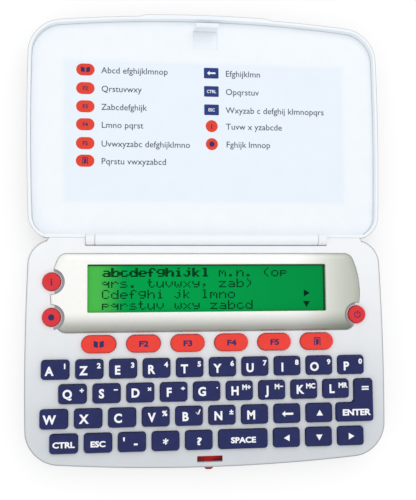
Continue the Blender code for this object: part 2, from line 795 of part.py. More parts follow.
def make_lid(parent, materials):
    shape, rim = prism(lid_outline(0), lid_outer_z, rim_z)
    round_over(shape, rim, rim_edge_radius, 1)
    round_over(shape, lowest_face(shape), bottom_edge_radius, 3)
    cover = add("lid_cover", shape, parent, materials["white"])
    cut(cover, "tray", prism(lid_outline(rim_width), lid_outer_z + lid_wall, overrun)[0])
    end = barrel_half_length
    join(cover, "barrel", cylinder(barrel_radius, -end - gap / 2, end + gap / 2, 16, axis="X"))
    cut(cover, "rod bore", cylinder(bore_radius, -end - gap, end + gap, 10, axis="X"))
    reliefs = bmesh.new()
    for side in (-1, 1):
        ends = sorted((side * end, side * (knuckle_end + gap)))
        cylinder(groove_radius, *ends, 16, axis="X", shape=reliefs)
    cut(cover, "knuckle reliefs", reliefs)

    inset = rim_width + gap
    bottom = lid_outer_z + lid_wall + gap
    liner = add("lid_liner", prism(lid_outline(inset), bottom, tray_z)[0], parent, materials["white"])
    hollow = prism(lid_outline(inset + lip_wall), bottom - overrun, tray_z - liner_wall)[0]
    cut(liner, "hollow", hollow)
    low = (-slot_half_width, hook_inner_y - core_pocket_length, tray_z - core_pocket_depth)
    cut(liner, "core pocket", box(low, (slot_half_width, hook_inner_y, overrun)))
    tip = hook_reach + rim_z + gap
    hook = [
        (hook_outer_y, tray_z - liner_wall / 2), (hook_outer_y, tip), (hook_inner_y, tip),
        (barb_y, tip - barb_height / 2), (barb_y, tip - barb_height),
        (hook_inner_y, tip - barb_height), (hook_inner_y, tray_z - liner_wall / 2),
    ]
    join(liner, "hook", bar(hook, hook_half_width))


clear_scene()
parts = new_collection("electronic_dictionary")
helpers = new_collection("cutters", shown=False)
finishes = {
    "white": finish("white plastic", (238, 241, 246), 0.35),
    "blue": finish("navy key plastic", (38, 42, 112), 0.4),
    "red": finish("red key plastic", (232, 62, 52), 0.4),
    "silver": finish("silver painted bezel", (225, 225, 220), 0.3, 0.3),
    "display": finish("green display", (0, 165, 85), 0.2),
    "latch": finish("red latch plastic", (175, 35, 40), 0.4),
    "steel": finish("bright steel", (190, 192, 196), 0.25, 1.0),
    "board": finish("green circuit board", (30, 90, 50), 0.5),
    "mat": finish("grey silicone mat", (110, 112, 118), 0.7),
    "base": finish("white base plastic", (228, 231, 236), 0.35),
}
frames = {}
for frame_name in ("base", "lid_hinge"):
    frames[frame_name] = bpy.data.objects.new(frame_name, None)
    frames[frame_name].location = (0, hinge_y, base_height)
    parts.objects.link(frames[frame_name])

make_upper_case(frames["base"], finishes["base"])
make_lower_case(frames["base"], finishes["base"])
make_battery_door(frames["base"], finishes["base"])
make_inner_pieces(frames["base"], finishes)
make_display(frames["base"], finishes)
make_latch(frames["base"], finishes)
make_keys(frames["base"], finishes)
make_lid(frames["lid_hinge"], finishes)
rod_length = knuckle_end - rod_end_wall - gap
rod = cylinder(rod_radius, -rod_length, rod_length, 10, axis="X")
add("hinge_rod", rod, frames["base"], finishes["steel"])
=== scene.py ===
import math

import bmesh
import bpy
from mathutils import Matrix, Vector


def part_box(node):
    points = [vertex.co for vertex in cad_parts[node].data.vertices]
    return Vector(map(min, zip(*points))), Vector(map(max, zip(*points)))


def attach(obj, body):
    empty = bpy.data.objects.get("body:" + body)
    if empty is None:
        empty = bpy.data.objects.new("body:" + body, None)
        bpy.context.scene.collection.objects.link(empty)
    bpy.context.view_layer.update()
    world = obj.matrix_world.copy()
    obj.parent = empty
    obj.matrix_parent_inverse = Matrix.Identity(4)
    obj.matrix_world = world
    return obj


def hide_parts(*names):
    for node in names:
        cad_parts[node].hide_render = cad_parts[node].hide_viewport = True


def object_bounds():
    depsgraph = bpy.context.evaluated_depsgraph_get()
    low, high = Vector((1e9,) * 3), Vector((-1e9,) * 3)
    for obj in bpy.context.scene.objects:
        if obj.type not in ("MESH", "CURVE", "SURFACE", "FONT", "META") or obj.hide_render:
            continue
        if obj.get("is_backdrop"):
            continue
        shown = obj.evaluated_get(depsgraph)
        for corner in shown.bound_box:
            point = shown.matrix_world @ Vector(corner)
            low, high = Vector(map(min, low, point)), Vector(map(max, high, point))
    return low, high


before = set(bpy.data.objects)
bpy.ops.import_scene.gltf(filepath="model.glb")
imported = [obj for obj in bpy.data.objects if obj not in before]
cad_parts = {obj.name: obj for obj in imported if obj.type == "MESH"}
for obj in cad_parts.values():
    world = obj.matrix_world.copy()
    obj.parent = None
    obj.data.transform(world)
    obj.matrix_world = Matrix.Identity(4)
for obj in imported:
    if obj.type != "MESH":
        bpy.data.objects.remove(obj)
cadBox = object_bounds()
mm = 0.001
hinge = Vector((0, -0.5, 13)) * mm  # shapes are drawn in mm from the hinge axis, then put here
print("frame loaded")


# drawing in mm

def arcPoints(centre, radius, start, end, steps):
    angles = [math.radians(start + (end - start) * i / steps) for i in range(steps + 1)]
    return [(centre[0] + radius * math.cos(a), centre[1] + radius * math.sin(a)) for a in angles]


def softRect(halfX, halfY, radius, centre=(0, 0), grow=0.0, steps=6):
    radius = max(radius + grow, 0.02)
    x, y = halfX + grow - radius, halfY + grow - radius
    points = []
    for quarter, (sx, sy) in enumerate(((1, 1), (-1, 1), (-1, -1), (1, -1))):
        middle = (centre[0] + sx * x, centre[1] + sy * y)
        points += arcPoints(middle, radius, 90 * quarter, 90 * quarter + 90, steps)
    return points


def circlePoints(radius, centre=(0, 0), steps=40):
    return arcPoints(centre, radius, 0, 360, steps)[:-1]


def cornered(corners, steps):
    # an outline through (x, y, radius) corners, each rounded by an arc
    points = []
    for i, (x, y, radius) in enumerate(corners):
        before = math.atan2(corners[i - 1][1] - y, corners[i - 1][0] - x)
        nextX, nextY, _ = corners[(i + 1) % len(corners)]
        turn = (math.atan2(nextY - y, nextX - x) - before + math.pi) % math.tau - math.pi
        middle = before + turn / 2
        reach = radius / math.sin(abs(turn) / 2)
        centre = (x + reach * math.cos(middle), y + reach * math.sin(middle))
        sweep = math.degrees(math.pi - abs(turn)) / 2
        away = math.degrees(middle) + 180
        side = -1 if turn < 0 else 1
        points += arcPoints(centre, radius, away + side * sweep, away - side * sweep, steps)
    return points


def loft(levels, shape=None):
    # a closed skin through (outline, height) levels with as many points each
    shape = shape or bmesh.new()
    rings = [[shape.verts.new((x, y, z)) for x, y in outline] for outline, z in levels]
    for low, high in zip(rings, rings[1:]):
        for i in range(len(low)):
            shape.faces.new((low[i - 1], low[i], high[i], high[i - 1]))
    shape.faces.new(list(reversed(rings[0])))
    shape.faces.new(rings[-1])
    return shape


def roundedLevels(outline, low, high, radius, steps=5, bottomRadius=0.0, topOutline=None):
    # levels of a prism whose upper edge, and lower if asked, is rounded inwards
    levels = []
    topOutline = topOutline or outline
    if bottomRadius:
        for i in range(steps + 1):
            a = math.pi / 2 * i / steps
            levels.append((outline(bottomRadius * (1 - math.sin(a))), low + bottomRadius * (1 - math.cos(a))))
    else:
        levels.append((outline(0), low))
    for i in range(steps + 1):
        a = math.pi / 2 * i / steps
        levels.append((topOutline(radius * (1 - math.cos(a))), high - radius * (1 - math.sin(a))))
    return levels


def flaredLevels(outline, low, top, gap, radius, steps=3):
    # levels of a cutter that leaves a rounded rim where it comes out at the top
    levels = [(outline(gap), low)]
    for i in range(steps + 1):
        a = math.pi / 2 * i / steps
        levels.append((outline(gap + radius * (1 - math.cos(a))), top - radius * (1 - math.sin(a))))
    return levels + [(outline(gap + radius), top + 2)]


def boxShape(low, high, shape=None):
    shape = shape or bmesh.new()
    size = [b - a for a, b in zip(low, high)]
    middle = Vector(low) + Vector(size) / 2
    bmesh.ops.create_cube(shape, size=1, matrix=Matrix.Translation(middle) @ Matrix.Diagonal((*size, 1)))
    return shape


def turned(profile, steps=40, axis="Z", place=(0, 0, 0), shape=None):
    # a closed turned form from (radius, station) pairs; the ends are capped
    shape = shape or bmesh.new()
    rings = []
    for radius, station in profile:
        ring = []
        for i in range(steps):
            a = math.tau * i / steps
            u, v = radius * math.cos(a), radius * math.sin(a)
            point = (station, u, v) if axis == "X" else (u, v, station)
            ring.append(shape.verts.new(Vector(point) + Vector(place)))
        rings.append(ring)
    for low, high in zip(rings, rings[1:]):
        for i in range(steps):
            shape.faces.new((low[i - 1], low[i], high[i], high[i - 1]))
    shape.faces.new(list(reversed(rings[0])))
    shape.faces.new(rings[-1])
    return shape


def sideBar(profile, halfWidth, shape=None):
    # a (y, z) profile run along X
    shape = shape or bmesh.new()
    ends = [[shape.verts.new((x, y, z)) for y, z in profile] for x in (-halfWidth, halfWidth)]
    for i in range(len(profile)):
        shape.faces.new((ends[0][i - 1], ends[0][i], ends[1][i], ends[1][i - 1]))
    shape.faces.new(list(reversed(ends[0])))
    shape.faces.new(ends[1])
    return shape


def toMesh(shape, name):
    bmesh.ops.recalc_face_normals(shape, faces=shape.faces)
    mesh = bpy.data.meshes.new(name)
    shape.to_mesh(mesh)
    shape.free()
    return mesh


def carved(body, cutters):
    # cuts the closed cutters out of the body, one after the other, and gives the new shape
    host = bpy.data.objects.new("carving", toMesh(body, "carving"))
    bpy.context.scene.collection.objects.link(host)
    tools = []
    for cutter in cutters:
        tool = bpy.data.objects.new("cutter", toMesh(cutter, "cutter"))
        bpy.context.scene.collection.objects.link(tool)
        tools.append(tool)
        modifier = host.modifiers.new("cut", "BOOLEAN")
        modifier.object = tool
    graph = bpy.context.evaluated_depsgraph_get()
    made = bmesh.new()
    made.from_mesh(host.evaluated_get(graph).to_mesh())
    for item in (host, *tools):
        bpy.data.objects.remove(item, do_unlink=True)
    return made


roundedTilt = (0.03, 0.97)
hingeClear = (52, 3)


def markEdgeShadeFaces(shape, centre):
    # the rounded edge round the outline takes the piece's second material, with its painted edge shade, but
    # not beside the hinge
    shape.normal_update()
    for face in shape.faces:
        place = face.calc_center_median()
        away = face.normal.xy.dot(place.xy - Vector(centre)) > 0
        clearOfHinge = abs(place.x) > hingeClear[0] or abs(place.y) > hingeClear[1]
        rounded = roundedTilt[0] < face.normal.z < roundedTilt[1]
        face.material_index = 1 if rounded and away and clearOfHinge else 0


def addPiece(name, shape, body, finishes, replaces=(), sharpAngle=32):
    bmesh.ops.transform(shape, matrix=Matrix.Translation(hinge) @ Matrix.Scale(mm, 4), verts=shape.verts)
    mesh = toMesh(shape, name)
    mesh.shade_smooth()
    mesh.set_sharp_from_angle(angle=math.radians(sharpAngle))
    piece = bpy.data.objects.new(name, mesh)
    bpy.context.scene.collection.objects.link(piece)
    for finish in finishes:
        mesh.materials.append(finish)
    weighted = piece.modifiers.new("flat faces stay flat", "WEIGHTED_NORMAL")
    weighted.keep_sharp = True
    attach(piece, body)
    if replaces:
        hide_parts(*replaces)
    return piece


# materials

def linear(value):
    share = value / 255
    return share / 12.92 if share <= 0.04045 else ((share + 0.055) / 1.055) ** 2.4


def rgb(*values):
    return (*map(linear, values), 1)


def feed(links, socket, value):
    # a socket takes a link from another one, or a plain value
    if isinstance(value, bpy.types.NodeSocket):
        links.new(value, socket)
    else:
        socket.default_value = value


def mathNode(nodes, links, operation, first, second):
    made = nodes.new("ShaderNodeMath")
    made.operation = operation
    feed(links, made.inputs[0], first)
    feed(links, made.inputs[1], second)
    return made.outputs[0]


def spanNode(nodes, links, value, low, high, toLow=0, toHigh=1, way="LINEAR"):
    made = nodes.new("ShaderNodeMapRange")
    made.interpolation_type = way
    for end, amount in (("From Min", low), ("From Max", high), ("To Min", toLow), ("To Max", toHigh)):
        made.inputs[end].default_value = amount
    links.new(value, made.inputs["Value"])
    return made.outputs["Result"]


def blendNode(nodes, links, share, first, second, way="MIX"):
    made = nodes.new("ShaderNodeMix")
    made.data_type = "RGBA"
    made.blend_type = way
    for end, value in (("Factor", share), ("A", first), ("B", second)):
        feed(links, made.inputs[end], value)
    return made.outputs["Result"]


def noiseNode(nodes, links, place, size, detail):
    made = nodes.new("ShaderNodeTexNoise")
    made.inputs["Scale"].default_value = 1 / (size * mm)
    made.inputs["Detail"].default_value = detail
    links.new(place, made.inputs["Vector"])
    return made.outputs["Fac"]


def alongAxis(nodes, links, axis, low, high):
    # 0 to 1 between two places on an axis of the part, in mm from the hinge axis
    split = nodes.new("ShaderNodeSeparateXYZ")
    links.new(nodes.new("ShaderNodeTexCoord").outputs["Object"], split.inputs["Vector"])
    offset = hinge["XYZ".index(axis)]
    low, high = low * mm + offset, high * mm + offset
    return spanNode(nodes, links, split.outputs[axis], low, high, way="SMOOTHSTEP")


plasticLook = {"coatRoughness": 0.12, "roughnessSpread": 0.06, "reliefStrength": 0.6, "mottleDetail": 4,
               "grainDetail": 2}


def speckled(name, dark, light, roughness, mottleSize=6.0, grainSize=0.35, grainDepth=0.012, metallic=0.0,
             coat=0.0, gloss=0.5):
    # moulded plastic: two near tones in soft patches under a fine grain, sizes in mm
    look = plasticLook
    made = bpy.data.materials.new(name)
    made.use_nodes = True
    nodes, links = made.node_tree.nodes, made.node_tree.links
    sockets = nodes["Principled BSDF"].inputs
    sockets["Metallic"].default_value = metallic
    sockets["Coat Weight"].default_value = coat
    sockets["Coat Roughness"].default_value = look["coatRoughness"]
    sockets["Specular IOR Level"].default_value = gloss
    place = nodes.new("ShaderNodeTexCoord").outputs["Object"]
    mottle = noiseNode(nodes, links, place, mottleSize, look["mottleDetail"])
    links.new(blendNode(nodes, links, mottle, dark, light), sockets["Base Color"])
    spread = look["roughnessSpread"]
    ends = (roughness - spread, roughness + spread)
    links.new(spanNode(nodes, links, mottle, 0, 1, *ends), sockets["Roughness"])
    relief = nodes.new("ShaderNodeBump")
    relief.inputs["Distance"].default_value = grainDepth * mm
    relief.inputs["Strength"].default_value = look["reliefStrength"]
    links.new(noiseNode(nodes, links, place, grainSize, look["grainDetail"]), relief.inputs["Height"])
    links.new(relief.outputs["Normal"], sockets["Normal"])
    return made


def toneAndPaintedShadeAlong(material, axis, low, high, lowTone, highTone):
    # a slow change of tone from one side of the part to the other; on the white plastics, the bezel and the
    # latch button it is painted shade and painted reflection
    nodes, links = material.node_tree.nodes, material.node_tree.links
    baseColour = nodes["Principled BSDF"].inputs["Base Color"]
    wash = blendNode(nodes, links, alongAxis(nodes, links, axis, low, high), lowTone, highTone)
    links.new(blendNode(nodes, links, 1, baseColour.links[0].from_socket, wash, "MULTIPLY"), baseColour)


def paintedEdgeShade(material, tone, start=0.2, end=0.62):
    # painted shade: rounded edges that turn away from the eye go towards this tone, as thin grey outlines
    nodes, links = material.node_tree.nodes, material.node_tree.links
    baseColour = nodes["Principled BSDF"].inputs["Base Color"]
    facing = nodes.new("ShaderNodeLayerWeight").outputs["Facing"]
    share = spanNode(nodes, links, facing, start, end)
    links.new(blendNode(nodes, links, share, baseColour.links[0].from_socket, tone), baseColour)


def fadedBorder(material, halfWidth, low, high, fade, tone):
    # towards its sides the print goes over into the tone of what lies under it
    nodes, links = material.node_tree.nodes, material.node_tree.links
    baseColour = nodes["Principled BSDF"].inputs["Base Color"]
    shares = [alongAxis(nodes, links, axis, inner, outer) for axis, inner, outer in (
        ("X", halfWidth - fade, halfWidth), ("X", fade - halfWidth, -halfWidth),
        ("Y", high - fade, high), ("Y", low + fade, low))]
    share = shares[0]
    for other in shares[1:]:
        share = mathNode(nodes, links, "MAXIMUM", share, other)
    links.new(blendNode(nodes, links, share, baseColour.links[0].from_socket, tone), baseColour)


finishes = {
    "basePlastic": speckled("whiteBasePlastic", rgb(236, 239, 242), rgb(242, 245, 248), 0.4, gloss=0.3),
    "basePaintedEdgeShade": speckled("whiteBasePaintedEdgeShade", rgb(236, 239, 242), rgb(242, 245, 248), 0.4, gloss=0.3),
    "lidPaintedEdgeShade": speckled("whiteLidPaintedEdgeShade", rgb(236, 241, 246), rgb(242, 247, 251), 0.4, gloss=0.3),
    "lidPlastic": speckled("whiteLidPlastic", rgb(236, 241, 246), rgb(242, 247, 251), 0.4, gloss=0.3),
    "sheet": speckled("bluishLegendSheet", rgb(228, 237, 246), rgb(233, 242, 250), 0.5, 9.0,
                      grainDepth=0.004, gloss=0.3),
    "lowerPlastic": speckled("whiteUndersidePlastic", rgb(222, 226, 231), rgb(230, 233, 237), 0.5,
                             grainDepth=0.03),
    "navy": speckled("navyKeyPlastic", rgb(27, 33, 80), rgb(36, 43, 96), 0.4, 3.0, gloss=0.18),
    "red": speckled("redKeyPlastic", rgb(226, 58, 48), rgb(238, 68, 58), 0.4, 3.0, gloss=0.18),
    "rose": speckled("roseButtonPlastic", rgb(208, 44, 50), rgb(222, 56, 62), 0.4, 3.0, gloss=0.18),
    "keyInk": speckled("whiteKeyInk", rgb(238, 240, 246), rgb(248, 249, 252), 0.5, 1.0, grainDepth=0.003),
    "navyInk": speckled("navyLabelInk", rgb(44, 28, 84), rgb(54, 38, 98), 0.5, 1.0, grainDepth=0.003,
                        gloss=0.2),
    "greyInk": speckled("greyLegendInk", rgb(62, 66, 86), rgb(76, 80, 100), 0.55, 1.0, grainDepth=0.003,
                        gloss=0.2),
    "legendRed": speckled("redLegendInk", rgb(216, 56, 36), rgb(228, 68, 46), 0.45, 2.0, grainDepth=0.003,
                          gloss=0.2),
    "legendBlue": speckled("blueLegendInk", rgb(24, 46, 116), rgb(32, 56, 128), 0.45, 2.0, grainDepth=0.003,
                           gloss=0.2),
    "silver": speckled("silverBezelPaint", rgb(236, 236, 232), rgb(244, 244, 241), 0.36, 1.2, 0.12, 0.01,
                       metallic=0.2, coat=0.1),
    "wellShade": speckled("greyWellShade", rgb(150, 152, 160), rgb(164, 166, 174), 0.6, 2.0, gloss=0.2),
    "display": speckled("greenDisplayGlass", rgb(72, 182, 74), rgb(80, 190, 82), 0.3, 12.0, 0.5, 0.001,
                        gloss=0.02),
    "dots": speckled("darkDisplayDots", rgb(0, 36, 20), rgb(2, 44, 24), 0.5, 1.0, grainDepth=0.001,
                     gloss=0.03),
    # painted shadow along the display window's top and right edges
    "rim": speckled("darkDisplayPaintedShadow", rgb(10, 70, 34), rgb(18, 84, 42), 0.4, 1.0, grainDepth=0.001,
                    gloss=0.1),
    "latchRed": speckled("redLatchPlastic", rgb(242, 50, 50), rgb(252, 64, 62), 0.4, 2.0, gloss=0.2),
    "steel": speckled("brightSteel", rgb(176, 178, 182), rgb(198, 200, 204), 0.28, 1.5, 0.08, 0.006,
                      metallic=1.0),
    "board": speckled("greenSolderMask", rgb(24, 82, 44), rgb(36, 98, 56), 0.4, 2.0, coat=0.4),
    "silicone": speckled("greySiliconeMat", rgb(100, 102, 108), rgb(116, 118, 124), 0.7, 3.0),
    "rubber": speckled("greyFootRubber", rgb(120, 122, 126), rgb(136, 138, 142), 0.8, 1.0, grainDepth=0.04),
}
# painted shade: the base's top goes darker towards the front
toneAndPaintedShadeAlong(finishes["basePlastic"], "Y", -84, -2, rgb(220, 222, 224), rgb(255, 255, 255))
# painted reflection: the silver paint greys towards its right side and along its lower band
toneAndPaintedShadeAlong(finishes["silver"], "X", 30, 57, rgb(255, 255, 255), rgb(188, 193, 182))
toneAndPaintedShadeAlong(finishes["silver"], "Y", -33.8, -26.2, rgb(158, 160, 154), rgb(255, 255, 255))
toneAndPaintedShadeAlong(finishes["display"], "X", -42, -30, rgb(255, 255, 255), rgb(8, 216, 240))
# painted shade: the latch button goes dark towards its lowest part
toneAndPaintedShadeAlong(finishes["latchRed"], "Y", -84.5, -83.4, rgb(112, 84, 96), rgb(255, 255, 255))
toneAndPaintedShadeAlong(finishes["display"], "X", -20, 44, rgb(255, 255, 255), rgb(255, 232, 236))
# painted shade: the same darkening towards the front on the base's rounded edges and on the underside
toneAndPaintedShadeAlong(finishes["basePaintedEdgeShade"], "Y", -84, -2, rgb(220, 222, 224), rgb(255, 255, 255))
toneAndPaintedShadeAlong(finishes["lowerPlastic"], "Y", -84, -2, rgb(226, 228, 230), rgb(255, 255, 255))
# painted shade: grey outlines along the rounded edges of base and lid
paintedEdgeShade(finishes["basePaintedEdgeShade"], rgb(136, 140, 144))
paintedEdgeShade(finishes["lidPaintedEdgeShade"], rgb(146, 152, 158))
print("finishes mixed")


# the outline that base and lid share

clamshell = {
    "halfWidth": 65.4, "sideSwell": 1.0, "swellCentre": 0.59, "swellReach": 0.54,
    "frontRadius": 11.0, "rearRadius": 8.8, "rearCentre": 8.8,
    "cornerSteps": 16, "sideStations": 10, "frontStations": 14,
}


def clamshellHalf(inset, depth, frontSwell, start, rear, lip=0.0, lipHalfWidth=22.5, lipRamp=3.0):
    c = clamshell
    width, reach = c["halfWidth"] - inset, depth - inset
    centre = (c["halfWidth"] - c["rearRadius"], c["rearCentre"])
    radius = c["rearRadius"] - inset
    runOut = -math.degrees(math.asin((centre[1] - inset - start) / radius))
    half = arcPoints(centre, radius, runOut, 0, c["cornerSteps"])
    half.insert(0, (half[0][0] - 1, rear))
    front = c["frontRadius"] - inset
    sideLength = reach - front - centre[1]
    stations = c["sideStations"]
    half += [(width, centre[1] + sideLength * (i + 1) / (stations + 1)) for i in range(stations)]
    half += arcPoints((width - front, reach - front), front, 0, 90, c["cornerSteps"])
    shoulder = lipHalfWidth + lipRamp
    outer = width - front
    half += [(outer + (shoulder - outer) * (i + 1) / 8, reach) for i in range(8)]
    half += [(shoulder - lipRamp * (i + 1) / 4, reach) for i in range(4)]
    stations = c["frontStations"]
    half += [(lipHalfWidth * (1 - (i + 1) / stations), reach) for i in range(stations - 1)]
    swelled = []
    for x, y in half:
        side = 1 - ((y - c["swellCentre"] * depth) / (c["swellReach"] * depth)) ** 2
        ahead = (1 - (x / width) ** 2) * max(0.0, y / reach)
        share = min(1.0, max(0.0, (shoulder - x) / lipRamp)) if y == reach else 0.0
        lipped = lip * share * share * (3 - 2 * share)
        swelled.append((x + c["sideSwell"] * side * x / width, y + frontSwell * ahead + lipped))
    return swelled + [(0.0, reach + frontSwell + lip)] + [(-x, y) for x, y in reversed(swelled)]


def baseOutline(inset, rearWall=0.0):
    # the rear wall stays upright along the seam
    return [(x, -y) for x, y in clamshellHalf(inset, 79.85, 3.2, 0.35, rearWall - 0.6)]


def lidOutline(inset):
    return clamshellHalf(inset, 80.9, 4.0, 0.7, 0.7 + inset - 0.01, 0.6)


def lidRimOutline(inset):
    return clamshellHalf(inset, 80.9, 4.0, 0.7, 0.69, 0.6)


def trayOutline(inset):
    return clamshellHalf(inset, 80.9, 4.0, 0.7, 0.7 + inset - 0.01)


# keys: where each lies comes from its solid

def boxInMm(node):
    low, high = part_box(node)
    return (low - hinge) / mm, (high - hinge) / mm


def capRect(node):
    low, high = boxInMm(node)
    return ((low + high) / 2).xy, (high.x - low.x) / 2 - 0.6, (high.y - low.y) / 2 - 0.6


keyCap = {
    "top": 1.4, "radius": 1.1, "edge": 0.45, "gap": 0.14, "rim": 0.2, "flangeTop": -1.9, "flangeBottom": -2.7,
    "roundRadius": 3.22,
}
enterKey = {"stemWidth": 7.05, "barDepth": 6.75, "innerRadius": 1.6}
letterNodes = ["key_" + letter for letter in "azertyuiopqsdfghjklwxcvbnm"]
plainNodes = letterNodes + ["key_" + name for name in (
    "backspace", "up", "ctrl", "escape", "apostrophe", "star", "question", "space", "left", "down", "right")]
ovalNodes = [f"function_key_{i}" for i in range(1, 7)]
roundNodes = ["help_button", "shift_button", "power_button"]


def capOutline(node):
    # gives a function of the growth, and the middle of the key
    centre, halfX, halfY = capRect(node)
    if node == "key_enter":
        e, r = enterKey, keyCap["radius"]
        left, right, low, high = centre.x - halfX, centre.x + halfX, centre.y - halfY, centre.y + halfY
        stem, bar = right - e["stemWidth"], low + e["barDepth"]

        def outline(grow):
            return cornered([
                (left - grow, low - grow, r + grow), (right + grow, low - grow, r + grow),
                (right + grow, high + grow, r + grow), (stem - grow, high + grow, r + grow),
                (stem - grow, bar + grow, e["innerRadius"] - grow), (left - grow, bar + grow, r + grow)], 6)
    elif node in ovalNodes:
        def outline(grow):
            return softRect(halfX, halfY, halfY - 0.01, centre, grow, 10)
    elif node in roundNodes:
        def outline(grow):
            return circlePoints(keyCap["roundRadius"] + grow, centre)
    else:
        def outline(grow):
            return softRect(halfX, halfY, keyCap["radius"], centre, grow)
    return outline, centre, halfX, halfY


# upper case

upperCase = {
    "parting": -7.6, "edge": 1.2, "wall": 1.6, "barrelGroove": 2.4, "grooveEnd": 45.0, "knuckleStart": 41.55,
    "knuckleEnd": 44.8,
    "knuckleRadius": 2.1, "slotHalfWidth": 4.65, "slotFront": -81.05, "slotRear": -78.9,
    "buttonHalfWidth": 2.1, "buttonLow": -6.7, "buttonHigh": -4.1,
}
bezelShape = {
    "top": -5.4, "bottom": -33.8, "halfWidth": 57.2, "sag": 3.5, "corner": 3.4, "crown": 2.4, "rise": 0.9,
    "window": (-44.1, -26.7, 44.1, -9.3), "wellRadius": 4.7,
}


def bezelOutline(inset):
    b = bezelShape
    top, bottom = b["top"] - inset, b["bottom"] + inset
    middle, half = (top + bottom) / 2, (top - bottom) / 2
    widest, corner = b["halfWidth"] - inset, b["corner"] - inset
    radius = (half ** 2 + b["sag"] ** 2) / (2 * b["sag"])
    centre = (widest - radius, middle)
    cornerY = half - corner
    cornerX = centre[0] + math.sqrt((radius - corner) ** 2 - cornerY ** 2)
    lean = math.degrees(math.atan2(cornerY, cornerX - centre[0]))
    right = arcPoints((cornerX, middle - cornerY), corner, -90, -lean, 8)
    right += arcPoints(centre, radius, -lean, lean, 20)[1:-1]
    right += arcPoints((cornerX, middle + cornerY), corner, lean, 90, 8)
    return right + [(-x, y) for x, y in reversed(right)]


def barrelProfile(radius, start, end, edge=0.25):
    return [(radius - edge, start), (radius, start + edge), (radius, end - edge), (radius - edge, end)]


def makeUpperCase():
    u, b = upperCase, bezelShape
    body = loft([(baseOutline(0.2), u["parting"])]
                + roundedLevels(baseOutline, u["parting"] + 0.2, 0, u["edge"], 6))
    inside = baseOutline(u["wall"], u["wall"])
    cavity = loft([(inside, u["parting"] - 1), (inside, -u["wall"])])
    groove = turned([(u["barrelGroove"], -u["grooveEnd"]), (u["barrelGroove"], u["grooveEnd"])], axis="X")
    seat = loft([(bezelOutline(-0.3), -0.6), (bezelOutline(-0.3), 2)])
    islands = bmesh.new()
    for node in roundNodes:
        centre = capRect(node)[0]
        circle = circlePoints(b["wellRadius"] - 0.3, centre)
        loft([(circle, -2), (circle, 3)], islands)
    seat = carved(seat, [islands])
    low, high = boxInMm("display_panel")
    opening = boxShape((low.x - 0.3, low.y - 0.3, -3), (high.x + 0.3, high.y + 0.3, 1))
    wells = bmesh.new()
    for node in plainNodes + ["key_enter"] + ovalNodes + roundNodes:
        outline = capOutline(node)[0]
        loft(flaredLevels(outline, -3, 0, keyCap["gap"], keyCap["rim"]), wells)
    slotMiddle = (0, (u["slotFront"] + u["slotRear"]) / 2)
    slotHalfY = (u["slotRear"] - u["slotFront"]) / 2
    slot = loft(flaredLevels(
        lambda grow: softRect(u["slotHalfWidth"], slotHalfY, 0.3, slotMiddle, grow), -3, 0, 0, 0.2))
    button = boxShape((-u["buttonHalfWidth"], -86, u["buttonLow"]),
                      (u["buttonHalfWidth"], -81, u["buttonHigh"]))
    shape = carved(body, [cavity, groove, seat, opening, wells, slot, button])
    for side in (-1, 1):
        start, end = sorted((side * u["knuckleStart"], side * u["knuckleEnd"]))
        turned(barrelProfile(u["knuckleRadius"], start, end), axis="X", shape=shape)
        boxShape((start, -0.9, -2.7), (end, 0.5, -1.6), shape)
    trough = [(0, -0.8)] + arcPoints((0, 0), 3.6, 270, 192, 12) + list(
        reversed(arcPoints((0, 0), 2.4, 270, 192, 12)))
    sideBar(trough[1:], u["grooveEnd"], shape)
    markEdgeShadeFaces(shape, (0, -40))
    addPiece("upper_shell", shape, "base", [finishes["basePlastic"], finishes["basePaintedEdgeShade"]], ["upper_case"])


def makeBezel():
    b = bezelShape
    levels = [(bezelOutline(0), -0.3)]
    for i in range(9):
        a = math.pi / 2 * i / 8
        levels.append((bezelOutline(b["crown"] * (1 - math.cos(a))), b["rise"] * math.sin(a)))
    x0, y0, x1, y1 = b["window"]
    middle = ((x0 + x1) / 2, (y0 + y1) / 2)
    window = loft(flaredLevels(
        lambda grow: softRect((x1 - x0) / 2, (y1 - y0) / 2, 0.4, middle, grow), -1, b["rise"], 0, 0.3))
    cutters = [window]
    for node in roundNodes:
        centre = capRect(node)[0]
        cutters.append(loft([(circlePoints(b["wellRadius"], centre, 64), -1),
                             (circlePoints(b["wellRadius"], centre, 64), 3)]))
    addPiece("silver_bezel", carved(loft(levels), cutters), "base", [finishes["silver"]],
             ["display_bezel"])


makeUpperCase()
makeBezel()
print("upper case and bezel made")


# letters and marks

def glyphs(text, capHeight, place, align="LEFT", bold=0.0, squeeze=1.0, height=0.03):
    # the built-in font as a thin raised print; place is the left, middle or right end of the baseline
    curve = bpy.data.curves.new("print", "FONT")
    curve.body = text
    curve.size = capHeight / 0.72
    curve.align_x = align
    curve.offset = bold * capHeight
    curve.resolution_u = 3
    curve.extrude = height / 2
    holder = bpy.data.objects.new("print", curve)
    bpy.context.scene.collection.objects.link(holder)
    graph = bpy.context.evaluated_depsgraph_get()
    mesh = bpy.data.meshes.new_from_object(holder.evaluated_get(graph))
    mesh.transform(Matrix.Translation(place) @ Matrix.Diagonal((squeeze, 1, 1, 1)))
    bpy.data.objects.remove(holder, do_unlink=True)
    bpy.data.curves.remove(curve)
    return mesh


def addPrint(shape, mesh, materialIndex):
    # puts a print's mesh into a piece, in one of the piece's materials
    before = len(shape.faces)
    shape.from_mesh(mesh)
    shape.faces.ensure_lookup_table()
    for face in shape.faces[before:]:
        face.material_index = materialIndex
    bpy.data.meshes.remove(mesh)


def addFlat(shape, outline, low, high, materialIndex):
    # a thin printed patch
    before = len(shape.faces)
    loft([(outline, low), (outline, high)], shape)
    shape.faces.ensure_lookup_table()
    for face in shape.faces[before:]:
        face.material_index = materialIndex


